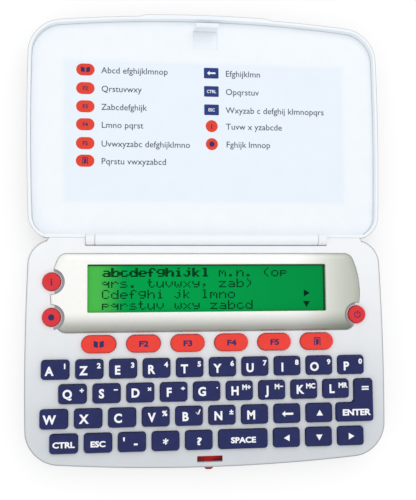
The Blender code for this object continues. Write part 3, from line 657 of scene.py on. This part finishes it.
def arrowHead(centre, size, towards):
    turn = math.radians({"right": 0, "up": 90, "left": 180, "down": 270}[towards])
    corners = [(size, 0), (-size * 0.75, size), (-size * 0.75, -size)]
    return [(centre[0] + x * math.cos(turn) - y * math.sin(turn),
             centre[1] + x * math.sin(turn) + y * math.cos(turn)) for x, y in corners]


def arrowLeft(centre, length, thickness):
    # a left arrow with a shaft
    x, y = centre
    head = thickness * 1.6
    left, right, half = x - length / 2, x + length / 2, thickness / 2
    neck = left + head
    return [(left, y), (neck, y + head * 0.9), (neck, y + half), (right, y + half), (right, y - half),
            (neck, y - half), (neck, y - head * 0.9)]


def bookMark(shape, centre, width, height, z, materialIndex):
    # an open book: two leaves that lean to a spine
    x, y = centre
    for side in (-1, 1):
        near, far = x + side * 0.08 * width, x + side * width / 2
        leaf = [(near, y - 0.5 * height), (far, y - 0.32 * height), (far, y + 0.5 * height),
                (near, y + 0.32 * height)]
        addFlat(shape, leaf if side > 0 else list(reversed(leaf)), z, z + 0.03, materialIndex)


def doorMark(shape, centre, width, height, z, materialIndex):
    # a framed doorway with its leaf ajar
    x, y = centre
    frameBars = [(-0.5, -0.5, -0.5 + 0.14, 0.5), (0.36, -0.5, 0.5, 0.5), (-0.36, 0.38, 0.36, 0.5)]
    for x0, y0, x1, y1 in frameBars:
        box = [(x + x0 * width, y + y0 * height), (x + x1 * width, y + y0 * height),
               (x + x1 * width, y + y1 * height), (x + x0 * width, y + y1 * height)]
        addFlat(shape, box, z, z + 0.03, materialIndex)
    leaf = [(x - 0.2 * width, y - 0.5 * height), (x + 0.22 * width, y - 0.3 * height),
            (x + 0.22 * width, y + 0.28 * height), (x - 0.2 * width, y + 0.28 * height)]
    addFlat(shape, leaf, z, z + 0.03, materialIndex)


# key caps with their prints

keyPrint = {
    "letter": 3.1, "letterBold": 0.05, "letterSqueeze": 0.95,
    "letterX": (2.85, 3.1, 3.4), "letterBase": (1.5, 1.95, 1.85),
    "raised": 1.8, "raisedBold": 0.06, "raisedRight": 0.8, "raisedTop": 1.15,
    "word": 2.0, "wordBold": 0.055, "wordSqueeze": 1.16, "ovalWord": 2.0, "ovalSqueeze": 1.3,
    "enterWord": 2.2, "equalsBar": (1.35, 0.26), "equalsRise": 0.45, "equalsDrop": 3.3,
    "book": (3.6, 2.6), "door": (2.4, 3.0), "arrowHead": 1.2, "arrow": (4.2, 0.75), "star": 3.3,
    "question": 2.6, "accent": 3.3, "help": 2.6, "shiftDot": 1.1, "powerRing": (0.95, 1.25),
    "powerBar": (0.16, 0.7), "lift": 0.012, "thickness": 0.03,
}
raisedSigns = dict(zip("azertyuiop", "1234567890"))
raisedSigns.update(zip("qsdfghjkl", ("+", "−", "×", "÷", "·", "M+", "M−", "MC", "MR")))
raisedSigns.update(zip("vbn", ("%", "√", "±")))
keyWords = {"key_ctrl": "CTRL", "key_escape": "ESC", "key_space": "SPACE", "key_enter": "ENTER",
            "function_key_2": "F2", "function_key_3": "F3", "function_key_4": "F4", "function_key_5": "F5"}


def capShape(node):
    k = keyCap
    outline = capOutline(node)[0]
    shape = loft([(outline(0.6), k["flangeBottom"]), (outline(0.6), k["flangeTop"])]
                 + [(outline(-inset), z) for inset, z in (
                     (0, k["flangeTop"] + 0.01), (0, k["top"] - k["edge"]))]
                 + [(outline(-k["edge"] * (1 - math.cos(a))), k["top"] - k["edge"] * (1 - math.sin(a)))
                    for a in (math.pi / 2 * i / 4 for i in range(1, 5))])
    return shape


def printKey(shape, node):
    p, z = keyPrint, keyCap["top"] + keyPrint["lift"]
    top = z + p["thickness"]
    _, centre, halfX, halfY = capOutline(node)
    left, low, right, high = centre.x - halfX, centre.y - halfY, centre.x + halfX, centre.y + halfY
    letter = node[4:]
    if node in letterNodes:
        row = 0 if letter in "azertyuiop" else 1 if letter in "qsdfghjkl" else 2
        at = (left + p["letterX"][row], low + p["letterBase"][row], z)
        mesh = glyphs(letter.upper(), p["letter"], at, "CENTER", p["letterBold"], p["letterSqueeze"])
        addPrint(shape, mesh, 1)
        sign = raisedSigns.get(letter)
        if sign:
            at = (right - p["raisedRight"], high - p["raisedTop"] - p["raised"], z)
            squeeze = 0.95 if len(sign) > 1 else 1.05
            addPrint(shape, glyphs(sign, p["raised"], at, "RIGHT", p["raisedBold"], squeeze), 1)
    elif node == "key_enter":
        at = (centre.x + 0.4, low + 2.3, z)
        addPrint(shape, glyphs("ENTER", p["enterWord"], at, "CENTER", p["wordBold"], p["wordSqueeze"]), 1)
        for rise in (-p["equalsRise"], p["equalsRise"]):
            bar = (right - enterKey["stemWidth"] / 2 + 0.5, high - p["equalsDrop"] + rise)
            addFlat(shape, softRect(*p["equalsBar"], 0.1, bar), z, top, 1)
    elif node in keyWords and node not in ovalNodes:
        at = (centre.x, centre.y - p["word"] / 2 - 0.2, z)
        addPrint(shape, glyphs(keyWords[node], p["word"], at, "CENTER", p["wordBold"], p["wordSqueeze"]), 1)
    elif node in keyWords:
        at = (centre.x, centre.y - p["ovalWord"] / 2, z)
        word = glyphs(keyWords[node], p["ovalWord"], at, "CENTER", p["wordBold"], p["ovalSqueeze"])
        addPrint(shape, word, 1)
    elif node == "function_key_1":
        bookMark(shape, centre, *p["book"], z, 1)
    elif node == "function_key_6":
        doorMark(shape, centre, *p["door"], z, 1)
    elif node in ("key_up", "key_down", "key_left", "key_right"):
        addFlat(shape, arrowHead(centre, p["arrowHead"], letter), z, top, 1)
    elif node == "key_backspace":
        addFlat(shape, list(reversed(arrowLeft(centre, *p["arrow"]))), z, top, 1)
    elif node == "key_star":
        addPrint(shape, glyphs("*", p["star"], (centre.x, centre.y - 2.3, z), "CENTER", 0.03), 1)
    elif node == "key_question":
        addPrint(shape, glyphs("?", p["question"], (centre.x, centre.y - 1.5, z), "CENTER", 0.045, 1.7), 1)
    elif node == "key_apostrophe":
        addPrint(shape, glyphs("'", p["accent"], (left + 1.6, centre.y - 1.5, z), bold=0.035), 1)
        addPrint(shape, glyphs("-", p["accent"], (centre.x + 0.6, centre.y - 1.7, z), bold=0.035), 1)
    elif node == "help_button":
        addPrint(shape, glyphs("i", p["help"], (centre.x, centre.y - p["help"] / 2, z), "CENTER", 0.03), 1)
    elif node == "shift_button":
        addFlat(shape, circlePoints(p["shiftDot"], centre), z, top, 1)
    elif node == "power_button":
        inner, outer = p["powerRing"]
        ring = arcPoints(centre, outer, 120, 420, 20) + list(reversed(arcPoints(centre, inner, 120, 420, 20)))
        addFlat(shape, ring, z, top, 1)
        addFlat(shape, softRect(*p["powerBar"], 0.1, (centre.x, centre.y + 0.8)), z, top, 1)


for node in plainNodes + ["key_enter"] + ovalNodes + roundNodes:
    keyShape = capShape(node)
    printKey(keyShape, node)
    plastic = "red" if node in ovalNodes else "rose" if node in roundNodes else "navy"
    ink = "keyInk" if plastic == "navy" else "navyInk"
    pieceName = node.replace("key_", "cap_") if node.startswith("key_") else node + "_cap"
    addPiece(pieceName, keyShape, node, [finishes[plastic], finishes[ink]], [node])
print("keys made")


# display

# five columns of seven dots each, lowest bit at the top
dotLetters = {
    "a": "2054545478", "b": "7f48444438", "c": "3844444420", "d": "384444487f", "e": "3854545418",
    "f": "087e090102", "g": "0c5252523e", "h": "7f08040478", "i": "00447d4000", "j": "2040443d00",
    "k": "7f10284400", "l": "00417f4000", "m": "7c04180478", "n": "7c08040478", "o": "3844444438",
    "p": "7c14141408", "q": "081414187c", "r": "7c08040408", "s": "4854545420", "t": "043f444020",
    "u": "3c4040207c", "v": "1c2040201c", "w": "3c4030403c", "x": "4428102844", "y": "0c5050503c",
    "z": "4464544c44", "C": "3e41414122", ".": "0060600000", ",": "0050300000", "(": "001c224100",
    ")": "0041221c00",
}
displayText = {
    "lines": ("abcdefghijkl m.n. (op", "qrs. tuvwxy, zab)", "Cdefghi jk lmno", "pqrstuv wxy zabcd"),
    "boldLetters": 12, "left": -38.95, "firstLine": -10.55, "linePitch": 4.0,
    "dotX": 0.55, "dotY": 0.47, "gap": 0.06, "height": 0.03, "panelTop": -0.6,
    "arrowX": 37.0, "arrowSize": 1.3,
}


def makeDisplayText():
    d = displayText
    shape = bmesh.new()
    low, high = d["panelTop"] + 0.01, d["panelTop"] + 0.01 + d["height"]
    for row, words in enumerate(d["lines"]):
        top = d["firstLine"] - row * d["linePitch"]
        for place, letter in enumerate(words):
            columns = bytes.fromhex(dotLetters.get(letter, ""))
            bold = row == 0 and place < d["boldLetters"]
            for column, bits in enumerate(columns):
                for line in range(7):
                    if not bits >> line & 1:
                        continue
                    x = d["left"] + (place * 6 + column) * d["dotX"]
                    y = top - line * d["dotY"]
                    width = d["dotX"] * (1.9 if bold else 1) - d["gap"]
                    boxShape((x, y - d["dotY"] + d["gap"], low), (x + width, y, high), shape)
    for row, towards in ((2, "right"), (3, "down")):
        y = d["firstLine"] - row * d["linePitch"] - 3.2 * d["dotY"]
        mark = arrowHead((d["arrowX"], y), d["arrowSize"], towards)
        loft([(mark, low), (mark, high)], shape)
    addPiece("display_dots", shape, "base", [finishes["dots"]])
    # painted shadow: a dark strip along the window's top and right edges, where the bezel shades the panel
    x0, y0, x1, y1 = bezelShape["window"]
    paintedShadowStrip = bmesh.new()
    boxShape((x0, y1 - 0.5, low), (x1, y1 + 0.2, high), paintedShadowStrip)
    boxShape((x1 - 0.7, y0, low), (x1 + 0.2, y1 - 0.5, high), paintedShadowStrip)
    addPiece("display_shadow_line", paintedShadowStrip, "base", [finishes["rim"]])


makeDisplayText()
print("display text made")


# lid

lidShape = {
    "rim": -0.3, "outer": -7.0, "rimEdge": 0.5, "outerEdge": 2.0, "rimWidth": 1.2, "floor": -5.6,
    "tray": -2.9, "barrelRadius": 2.1, "barrelEnd": 41.42, "relief": 2.25, "reliefEnd": 44.95,
}
hookShape = {
    "halfWidth": 4.3, "outerY": 80.7, "innerY": 79.9, "barbY": 79.25, "tip": 4.2, "barb": 0.8,
    "pocketHalfWidth": 4.65, "pocketLength": 6.9, "pocketDepth": 0.5,
}


def makeLid():
    s, h = lidShape, hookShape
    body = loft(roundedLevels(lidOutline, s["outer"], s["rim"], s["rimEdge"], 6, s["outerEdge"],
                              lidRimOutline))
    tray = loft([(trayOutline(s["rimWidth"]), s["floor"]), (trayOutline(s["rimWidth"]), 1)])
    cutters = [tray]
    for side in (-1, 1):
        start, end = sorted((side * (s["barrelEnd"] + 0.05), side * s["reliefEnd"]))
        cutters.append(turned([(s["relief"], start), (s["relief"], end)], axis="X"))
    shape = carved(body, cutters)
    turned(barrelProfile(s["barrelRadius"], -s["barrelEnd"], s["barrelEnd"]), axis="X", shape=shape)
    markEdgeShadeFaces(shape, (0, 40))
    addPiece("lid_shell", shape, "lid", [finishes["lidPlastic"], finishes["lidPaintedEdgeShade"]], ["lid_cover"])

    liner = loft(roundedLevels(lambda inset: trayOutline(s["rimWidth"] + 0.03 + inset), s["floor"] + 0.3,
                               s["tray"], 0.3, 3))
    low = (-h["pocketHalfWidth"], h["innerY"] - h["pocketLength"], s["tray"] - h["pocketDepth"])
    pocket = boxShape(low, (h["pocketHalfWidth"], h["innerY"], 1))
    shape = carved(liner, [pocket])
    root = s["tray"] - 0.6
    profile = [(h["outerY"], root), (h["outerY"], h["tip"] - 0.2), (h["outerY"] - 0.2, h["tip"]),
               (h["innerY"] + 0.1, h["tip"]), (h["barbY"], h["tip"] - 0.45),
               (h["barbY"], h["tip"] - h["barb"]), (h["innerY"], h["tip"] - h["barb"]), (h["innerY"], root)]
    sideBar(profile, h["halfWidth"], shape)
    addPiece("lid_tray", shape, "lid", [finishes["lidPlastic"]], ["lid_liner"])


makeLid()
print("lid made")


# printed legend in the lid

legend = {
    "leftMarkX": -45.25, "leftTextX": -39.4, "rightMarkX": 2.1, "rightTextX": 7.5,
    "leftRows": (63.9, 56.8, 49.9, 43.1, 36.0, 29.4), "rightRows": (63.8, 56.7, 49.6, 43.3, 36.4),
    "leftWords": ((4, 12), (9,), (12,), (4, 5), (9, 12), (6, 9)),
    "rightWords": ((10,), (8,), (6, 1, 7, 9), (4, 1, 7), (6, 5)),
    "textHeight": 2.4, "sheet": (54.3, 13.0, 68.5), "ovalHalf": (3.4, 2.27), "rectHalf": (2.8, 2.05),
    "circle": 2.3, "fade": 2.2, "z": -2.89, "print": 0.03,
}


def placeholderWords(lengths, start):
    # words of these lengths that run on through the alphabet
    words = []
    for length in lengths:
        words.append("".join(chr(97 + (start + i) % 26) for i in range(length)))
        start += length
    return " ".join(words).capitalize(), start


def makeLegend():
    g = legend
    fadedBorder(finishes["sheet"], *g["sheet"], g["fade"], rgb(239, 244, 249))
    patches, prints = bmesh.new(), bmesh.new()
    z0, z1 = g["z"], g["z"] + g["print"]
    halfX, low, high = g["sheet"]
    sheet = loft([(softRect(halfX, (high - low) / 2, 0.8, (0, (low + high) / 2)), z) for z in (z0, z1)])
    addPiece("legend_sheet", sheet, "lid", [finishes["sheet"]])
    z0, z1 = z1 + 0.01, z1 + 0.01 + g["print"]
    z2 = z1 + 0.005
    start = 0
    for row, y in enumerate(g["leftRows"]):
        oval = softRect(*g["ovalHalf"], g["ovalHalf"][1] - 0.01, (g["leftMarkX"], y), steps=10)
        addFlat(patches, oval, z0, z1, 0)
        if row == 0:
            bookMark(patches, (g["leftMarkX"], y), 3.4, 2.2, z2, 2)
        elif row == 5:
            doorMark(patches, (g["leftMarkX"], y), 2.0, 2.6, z2, 2)
        else:
            at = (g["leftMarkX"], y - 0.75, z2)
            addPrint(patches, glyphs(f"F{row + 1}", 1.5, at, "CENTER", 0.03), 2)
        words, start = placeholderWords(g["leftWords"][row], start)
        at = (g["leftTextX"], y - g["textHeight"] / 2, z1)
        addPrint(prints, glyphs(words, g["textHeight"], at), 0)
    for row, y in enumerate(g["rightRows"]):
        centre = (g["rightMarkX"], y)
        if row < 3:
            addFlat(patches, softRect(*g["rectHalf"], 0.35, centre), z0, z1, 1)
        else:
            addFlat(patches, circlePoints(g["circle"], centre), z0, z1, 0)
        if row == 0:
            addFlat(patches, list(reversed(arrowLeft(centre, 3.2, 0.6))), z2, z2 + 0.03, 3)
        elif row < 3:
            at = (centre[0], y - 0.6, z2)
            addPrint(patches, glyphs(("CTRL", "ESC")[row - 1], 1.2, at, "CENTER", 0.03, 0.9), 3)
        elif row == 3:
            addPrint(patches, glyphs("i", 2.2, (centre[0], y - 1.1, z2), "CENTER", 0.03), 2)
        else:
            addFlat(patches, circlePoints(1.0, centre), z2, z2 + 0.03, 2)
        words, start = placeholderWords(g["rightWords"][row], start)
        at = (g["rightTextX"], y - g["textHeight"] / 2, z1)
        addPrint(prints, glyphs(words, g["textHeight"], at), 0)
    marks = [finishes["legendRed"], finishes["legendBlue"], finishes["navyInk"], finishes["keyInk"]]
    addPiece("legend_marks", patches, "lid", marks)
    addPiece("legend_words", prints, "lid", [finishes["greyInk"]])


makeLegend()
print("legend printed")


# underside

underside = {
    "parting": -7.9, "low": -12.2, "edge": 2.0, "wall": 1.6, "footHeight": 0.8, "footRadius": 3.0,
    "footX": 52.0, "footRows": (-13.0, -71.0), "doorGap": 0.3, "wellRadius": 1.8, "wellDepth": 1.1,
    "screwRadius": 1.3, "screwHeight": 0.6,
    "screws": ((59.6, -7.6), (-59.6, -7.6), (59.845, -74.295), (-59.845, -74.295)),
}


def screwHead(centre, low, top, radius, shape):
    # a low domed head seen from below, with a cross cut into it
    body = turned([(radius * 0.75, low), (radius * 0.95, low + 0.12), (radius, low + 0.3), (radius, top)], 32,
                  place=(centre[0], centre[1], 0))
    cross = boxShape((centre[0] - radius * 0.6, centre[1] - radius * 0.14, low - 1),
                     (centre[0] + radius * 0.6, centre[1] + radius * 0.14, low + 0.3))
    across = boxShape((centre[0] - radius * 0.14, centre[1] - radius * 0.6, low - 1),
                      (centre[0] + radius * 0.14, centre[1] + radius * 0.6, low + 0.3))
    made = carved(body, [cross, across])
    mesh = toMesh(made, "screw")
    shape.from_mesh(mesh)
    bpy.data.meshes.remove(mesh)


def makeUnderside():
    u = underside
    body = loft(roundedLevels(baseOutline, u["low"], u["parting"], 0.2, 6, u["edge"]))
    inside = baseOutline(u["wall"], u["wall"])
    cavity = loft([(inside, u["low"] + u["wall"]), (inside, 1)])
    low, high = boxInMm("battery_door")
    gap = u["doorGap"]
    door = boxShape((low.x - gap, low.y - gap, u["low"] - 1),
                    (high.x + gap, high.y - 1 + gap, u["low"] + 2))
    wells = bmesh.new()
    for x, y in u["screws"]:
        r, z = u["wellRadius"], u["low"]
        turned([(r + 1.2, z - 1), (r + 0.2, z), (r, z + 0.2), (r, z + u["wellDepth"])], place=(x, y, 0),
               shape=wells)
    shape = carved(body, [cavity, door, wells])
    addPiece("lower_shell", shape, "base", [finishes["lowerPlastic"]], ["lower_case"])
    feet, screws = bmesh.new(), bmesh.new()
    for side in (-1, 1):
        for y in u["footRows"]:
            r, z = u["footRadius"], u["low"] - u["footHeight"]
            turned([(r - 0.4, z), (r - 0.12, z + 0.1), (r, z + 0.35), (r, u["low"] + 0.3)],
                   place=(side * u["footX"], y, 0), shape=feet)
    for x, y in u["screws"]:
        top = u["low"] + u["wellDepth"] + 0.2
        screwHead((x, y), top - 0.2 - u["screwHeight"], top, u["screwRadius"], screws)
    addPiece("rubber_feet", feet, "base", [finishes["rubber"]])
    addPiece("case_screws", screws, "base", [finishes["steel"]])


makeUnderside()
print("underside made")


# latch: plate, tooth and the button that stands out at the front

latchShape = {
    "halfWidth": 5.0, "front": -81.15, "back": -78.05, "plate": (-6.0, -4.8), "riserFront": -78.95,
    "tooth": (-79.6, -3.1, -1.9), "toothHalfWidth": 4.3, "button": (1.8, -84.5, -5.4, 1.0),
}


def makeLatch():
    t = latchShape
    shape = boxShape((-t["halfWidth"], t["front"], t["plate"][0]), (t["halfWidth"], t["back"], t["plate"][1]))
    toothY, toothLow, toothTop = t["tooth"]
    lean = (toothTop - toothLow) / 2
    middle = t["button"][2]
    sideBar([(t["riserFront"], middle), (t["back"], middle), (t["back"], toothTop), (toothY + lean, toothTop),
             (toothY, toothTop - lean), (toothY, toothLow), (t["riserFront"], toothLow)],
            t["toothHalfWidth"], shape)
    halfWidth, face, middle, half = t["button"]
    nose = softRect(halfWidth, 3.5, 1.3, (0, face + 3.5), steps=8)
    loft([([(x, min(y, t["front"] + 0.3)) for x, y in nose], middle - half),
          ([(x, min(y, t["front"] + 0.3)) for x, y in nose], middle + half)], shape)
    addPiece("latch_slide", shape, "latch", [finishes["latchRed"]], ["latch_slider"])


makeLatch()
print("latch made")


# grey shade round the buttons, under the bezel's cut edges

def makeWellShades():
    shape = bmesh.new()
    for node, start, end in (("help_button", -75, 80), ("shift_button", -80, 75), ("power_button", 95, 255)):
        centre = capRect(node)[0]
        ring = arcPoints(centre, bezelShape["wellRadius"] - 0.05, start, end, 24)
        ring += reversed(arcPoints(centre, keyCap["roundRadius"] + 0.45, start, end, 24))
        loft([(ring, 0.01), (ring, 0.05)], shape)
    addPiece("button_well_shades", shape, "base", [finishes["wellShade"]])


makeWellShades()


# nodes kept as they are, with their finishes

keptNodes = {
    "display_panel": "display", "latch_spring": "steel", "hinge_rod": "steel",
    "coin_cell": "steel", "circuit_board": "board", "key_mat": "silicone", "battery_door": "lowerPlastic",
}
for nodeName, finishName in keptNodes.items():
    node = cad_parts[nodeName]
    node.data.materials.clear()
    node.data.materials.append(finishes[finishName])
    weld = node.modifiers.new("weld", "WELD")
    weld.merge_threshold = 0.00001
    if nodeName == "battery_door":
        soften = node.modifiers.new("soft edges", "BEVEL")
        soften.width = 0.15 * mm
        soften.segments = 2
        soften.limit_method = "ANGLE"
        soften.angle_limit = math.radians(50)
print("solids finished")


# floor, light and camera

studio = {
    "worldStrength": 0.8, "paper": 0.45, "paperGlow": 0.56, "floorReach": 3,
    "lamps": (((0.15, 0.35, 0.75), 0.7, 1.5), ((-0.4, -0.4, 0.6), 0.6, 0.8)),  # place, size, power
}


def makeFloor():
    floorShape = bmesh.new()
    bmesh.ops.create_grid(floorShape, x_segments=1, y_segments=1, size=studio["floorReach"])
    mesh = toMesh(floorShape, "floor")
    floor = bpy.data.objects.new("floor", mesh)
    bpy.context.scene.collection.objects.link(floor)
    paper = bpy.data.materials.new("palePaper")
    paper.use_nodes = True
    nodes, links = paper.node_tree.nodes, paper.node_tree.links
    shader = nodes["Principled BSDF"]
    shader.inputs["Base Color"].default_value = (*[studio["paper"]] * 3, 1)
    shader.inputs["Roughness"].default_value = 0.9
    shader.inputs["Specular IOR Level"].default_value = 0.1
    shader.inputs["Emission Color"].default_value = (1, 1, 1, 1)
    links.new(seenRays(nodes, links, studio["paperGlow"]), shader.inputs["Emission Strength"])
    mesh.materials.append(paper)
    floor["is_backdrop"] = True


def seenRays(nodes, links, strength):
    # the camera, gloss and glass see this much more light than the object gets
    path = nodes.new("ShaderNodeLightPath").outputs
    seen = mathNode(nodes, links, "MAXIMUM", path["Is Camera Ray"], path["Is Glossy Ray"])
    seen = mathNode(nodes, links, "MAXIMUM", seen, path["Is Transmission Ray"])
    return mathNode(nodes, links, "MULTIPLY", seen, strength)


def makeStudio():
    world = bpy.data.worlds.new("studio")
    bpy.context.scene.world = world
    world.use_nodes = True
    nodes, links = world.node_tree.nodes, world.node_tree.links
    sky = nodes["Background"]
    sky.inputs["Color"].default_value = (1, 1, 1, 1)
    extra = seenRays(nodes, links, 1 - studio["worldStrength"])
    links.new(mathNode(nodes, links, "ADD", extra, studio["worldStrength"]), sky.inputs["Strength"])
    for index, (place, size, power) in enumerate(studio["lamps"]):
        lamp = bpy.data.lights.new(f"softLamp{index}", "AREA")
        lamp.size = size
        lamp.energy = power
        holder = bpy.data.objects.new(f"softLamp{index}", lamp)
        holder.location = place
        holder.rotation_euler = (-Vector(place)).to_track_quat("-Z", "Y").to_euler()
        bpy.context.scene.collection.objects.link(holder)


photoCamera = {
    "place": (-0.032533, -0.025468, 0.289600), "turn": (0.07625, -0.11620, -0.00876), "lens": 54.32,
}


def makeCamera():
    lens = bpy.data.cameras.new("photoCamera")
    lens.sensor_width = 36
    lens.lens = photoCamera["lens"]
    lens.clip_start = 0.01
    camera = bpy.data.objects.new("photoCamera", lens)
    camera.location = photoCamera["place"]
    camera.rotation_euler = photoCamera["turn"]
    bpy.context.scene.collection.objects.link(camera)
    bpy.context.scene.camera = camera


makeFloor()
makeStudio()
makeCamera()
bpy.context.scene.view_settings.view_transform = "Standard"
print("studio set")

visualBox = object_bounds()
boxes = {"cad": cadBox, "visual": visualBox}
{name: [list(corner) for corner in box] for name, box in boxes.items()}
